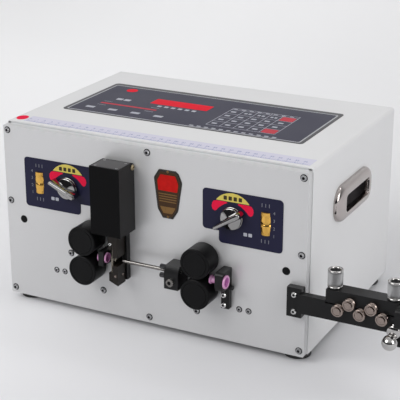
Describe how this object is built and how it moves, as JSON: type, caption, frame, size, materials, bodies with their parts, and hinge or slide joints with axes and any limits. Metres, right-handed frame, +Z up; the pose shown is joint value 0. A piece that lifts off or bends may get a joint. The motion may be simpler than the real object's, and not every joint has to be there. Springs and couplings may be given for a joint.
{
  "type": "wire stripping machine",
  "caption": "Bench-top wire cutting and stripping machine: box housing, paired feed rollers, guarded cutter, swinging guide tube and a five-wheel straightener arm.",
  "frame": {"origin": "centre of the whole machine's footprint box, on the floor under the feet", "axes": "+Z up, +X to the right seen from the front, where the straightener is, +Y from the front plate to the rear"},
  "size_m": [0.5278, 0.31, 0.2328],
  "materials": {
    "plate": "satin, brushed left to right",
    "cover_paint": "semi-matte powder coat",
    "sheet": "semi-matte",
    "frame_bar": "mill",
    "foot": "matte",
    "handle_chrome": "polished",
    "pocket": "matte",
    "steel": "bright",
    "black_steel": "black oxide",
    "membrane": "smooth printed film",
    "panel_film": "printed film",
    "socket": "moulded",
    "supply": "mill",
    "board": "solder mask",
    "inner": "machined",
    "motor": "semi-gloss",
    "black_cover": "satin",
    "black_anodised": "black anodised",
    "blade": "ground",
    "ceramic": "glazed",
    "chrome": "polished",
    "roller": "matte",
    "brass": "polished, knurled",
    "wheel": "turned"
  },
  "bodies": {
    "machine": {"front_plate": "plate", "top_cover": "cover_paint", "base_plate": "sheet", "rear_panel": "cover_paint", "front_frame": "frame_bar", "feet": "foot", "handle_frames": "handle_chrome", "handle_pockets": "pocket", "housing_screws": "steel", "black_screws": "black_steel", "control_panel": "membrane", "face_panels": "panel_film", "power_inlet": "socket", "power_supply": "supply", "control_board": "board", "shaft_bearings": "steel", "inner_frames": "inner", "feed_motors": "motor", "left_spring": "steel", "right_spring": "steel", "cutter_column": "black_anodised", "cutter_motor": "motor", "guide_brackets": "black_anodised", "eyelets": "ceramic", "tube_actuator": "motor", "straightener_bar": "black_anodised"},
    "left_lower_feed": {"left_lower_roller": "roller", "left_lower_shaft": "steel"},
    "left_block": {"left_bearing_block": "inner"},
    "left_upper_feed": {"left_upper_roller": "roller", "left_upper_shaft": "steel"},
    "left_knob": {"left_lift_knob": "chrome"},
    "left_press": {"left_pressure_bar": "inner"},
    "left_nut": {"left_thumb_nut": "brass"},
    "right_lower_feed": {"right_lower_roller": "roller", "right_lower_shaft": "steel"},
    "right_block": {"right_bearing_block": "inner"},
    "right_upper_feed": {"right_upper_roller": "roller", "right_upper_shaft": "steel"},
    "right_knob": {"right_lift_knob": "chrome"},
    "right_press": {"right_pressure_bar": "inner"},
    "right_nut": {"right_thumb_nut": "brass"},
    "guard": {"blade_cover": "black_cover"},
    "upper_cutter": {"upper_blade_holder": "black_anodised", "upper_blade": "blade"},
    "lower_cutter": {"lower_blade_holder": "black_anodised", "lower_blade": "blade"},
    "cutter_screw": {"lead_screw": "steel"},
    "tube_arm": {"tube_block": "black_anodised", "guide_tube": "steel"},
    "press_block": {"straightener_block": "black_anodised"},
    "wheel_1": {"straightener_wheel_1": "wheel"},
    "wheel_2": {"straightener_wheel_2": "wheel"},
    "wheel_3": {"straightener_wheel_3": "wheel"},
    "wheel_4": {"straightener_wheel_4": "wheel"},
    "wheel_5": {"straightener_wheel_5": "wheel"},
    "left_adjuster": {"left_thumb_screw": "chrome"},
    "right_adjuster": {"right_thumb_screw": "chrome"},
    "clamp": {"clamp_knob": "chrome"},
    "switch": {"power_switch": "socket"}
  },
  "joints": [
    {"name": "left_lower_spin", "type": "hinge", "parent": "machine", "child": "left_lower_feed", "pos_m": [-0.1309, -0.12, 0.07225], "axis": [0, 1, 0], "continuous": true},
    {"name": "left_block_lift", "type": "slide", "parent": "machine", "child": "left_block", "axis": [0, 0, 1], "range_m": [0, 0.0034], "deforming": ["left_spring"]},
    {"name": "left_upper_spin", "type": "hinge", "parent": "left_block", "child": "left_upper_feed", "pos_m": [-0.1309, -0.12, 0.10975], "axis": [0, 1, 0], "continuous": true},
    {"name": "left_knob_turn", "type": "hinge", "parent": "machine", "child": "left_knob", "pos_m": [-0.1646, -0.12, 0.1625], "axis": [0, 1, 0], "range_deg": [0, 120]},
    {"name": "left_press_slide", "type": "slide", "parent": "machine", "child": "left_press", "axis": [0, 0, 1], "range_m": [-0.0025, 0.0025]},
    {"name": "left_nut_turn", "type": "hinge", "parent": "left_press", "child": "left_nut", "pos_m": [-0.2052, -0.116, 0.1625], "axis": [0, 0, 1], "range_deg": [-900, 900]},
    {"name": "right_lower_spin", "type": "hinge", "parent": "machine", "child": "right_lower_feed", "pos_m": [0.0191, -0.12, 0.07225], "axis": [0, 1, 0], "continuous": true},
    {"name": "right_block_lift", "type": "slide", "parent": "machine", "child": "right_block", "axis": [0, 0, 1], "range_m": [0, 0.0034], "deforming": ["right_spring"]},
    {"name": "right_upper_spin", "type": "hinge", "parent": "right_block", "child": "right_upper_feed", "pos_m": [0.0191, -0.12, 0.10975], "axis": [0, 1, 0], "continuous": true},
    {"name": "right_knob_turn", "type": "hinge", "parent": "machine", "child": "right_knob", "pos_m": [0.0528, -0.12, 0.1625], "axis": [0, 1, 0], "range_deg": [0, 120]},
    {"name": "right_press_slide", "type": "slide", "parent": "machine", "child": "right_press", "axis": [0, 0, 1], "range_m": [-0.0025, 0.0025]},
    {"name": "right_nut_turn", "type": "hinge", "parent": "right_press", "child": "right_nut", "pos_m": [0.0934, -0.116, 0.1625], "axis": [0, 0, 1], "range_deg": [-900, 900]},
    {"name": "guard_lift", "type": "hinge", "parent": "machine", "child": "guard", "pos_m": [-0.09265, -0.1255, 0.204], "axis": [-1, 0, 0], "range_deg": [0, 90]},
    {"name": "cutter_screw_turn", "type": "hinge", "parent": "machine", "child": "cutter_screw", "pos_m": [-0.0889, -0.08, 0.091], "axis": [0, 0, 1], "range_deg": [0, 360]},
    {"name": "upper_cutter_slide", "type": "slide", "parent": "machine", "child": "upper_cutter", "axis": [0, 0, -1], "range_m": [0, 0.004]},
    {"name": "lower_cutter_slide", "type": "slide", "parent": "machine", "child": "lower_cutter", "axis": [0, 0, 1], "range_m": [0, 0.004]},
    {"name": "tube_swing", "type": "hinge", "parent": "machine", "child": "tube_arm", "pos_m": [-0.0129, -0.12, 0.0807], "axis": [0, -1, 0], "range_deg": [0, 15]},
    {"name": "press_block_lift", "type": "slide", "parent": "machine", "child": "press_block", "axis": [0, 0, 1], "range_m": [0, 0.004]},
    {"name": "wheel_1_spin", "type": "hinge", "parent": "machine", "child": "wheel_1", "pos_m": [0.188, -0.1375, 0.0854], "axis": [0, 1, 0], "continuous": true},
    {"name": "wheel_2_spin", "type": "hinge", "parent": "press_block", "child": "wheel_2", "pos_m": [0.20055, -0.1375, 0.0945], "axis": [0, 1, 0], "continuous": true},
    {"name": "wheel_3_spin", "type": "hinge", "parent": "machine", "child": "wheel_3", "pos_m": [0.2131, -0.1375, 0.0854], "axis": [0, 1, 0], "continuous": true},
    {"name": "wheel_4_spin", "type": "hinge", "parent": "press_block", "child": "wheel_4", "pos_m": [0.22565, -0.1375, 0.0945], "axis": [0, 1, 0], "continuous": true},
    {"name": "wheel_5_spin", "type": "hinge", "parent": "machine", "child": "wheel_5", "pos_m": [0.2382, -0.1375, 0.0854], "axis": [0, 1, 0], "continuous": true},
    {"name": "left_adjuster_turn", "type": "hinge", "parent": "press_block", "child": "left_adjuster", "pos_m": [0.1791, -0.1245, 0.106], "axis": [0, 0, 1], "range_deg": [0, 1800]},
    {"name": "right_adjuster_turn", "type": "hinge", "parent": "press_block", "child": "right_adjuster", "pos_m": [0.2471, -0.1245, 0.106], "axis": [0, 0, 1], "range_deg": [0, 1800]},
    {"name": "clamp_turn", "type": "hinge", "parent": "machine", "child": "clamp", "pos_m": [0.2521, -0.12, 0.074], "axis": [0, 1, 0], "range_deg": [-30, 60]},
    {"name": "switch_rock", "type": "hinge", "parent": "machine", "child": "switch", "pos_m": [0.0341, 0.147, 0.069], "axis": [1, 0, 0], "range_deg": [0, 20]}
  ],
  "couplings": [
    {"joint": "left_upper_spin", "follows": "left_lower_spin", "ratio": -1},
    {"joint": "left_knob_turn", "follows": "left_block_lift", "rad_per_m": 616},
    {"joint": "left_nut_turn", "follows": "left_press_slide", "rad_per_m": 6283.2},
    {"joint": "right_upper_spin", "follows": "right_lower_spin", "ratio": -1},
    {"joint": "right_knob_turn", "follows": "right_block_lift", "rad_per_m": 616},
    {"joint": "right_nut_turn", "follows": "right_press_slide", "rad_per_m": 6283.2},
    {"joint": "lower_cutter_slide", "follows": "upper_cutter_slide", "ratio": 1},
    {"joint": "cutter_screw_turn", "follows": "upper_cutter_slide", "rad_per_m": 1570.8},
    {"joint": "left_adjuster_turn", "follows": "press_block_lift", "rad_per_m": 7854},
    {"joint": "right_adjuster_turn", "follows": "press_block_lift", "rad_per_m": 7854}
  ]
}
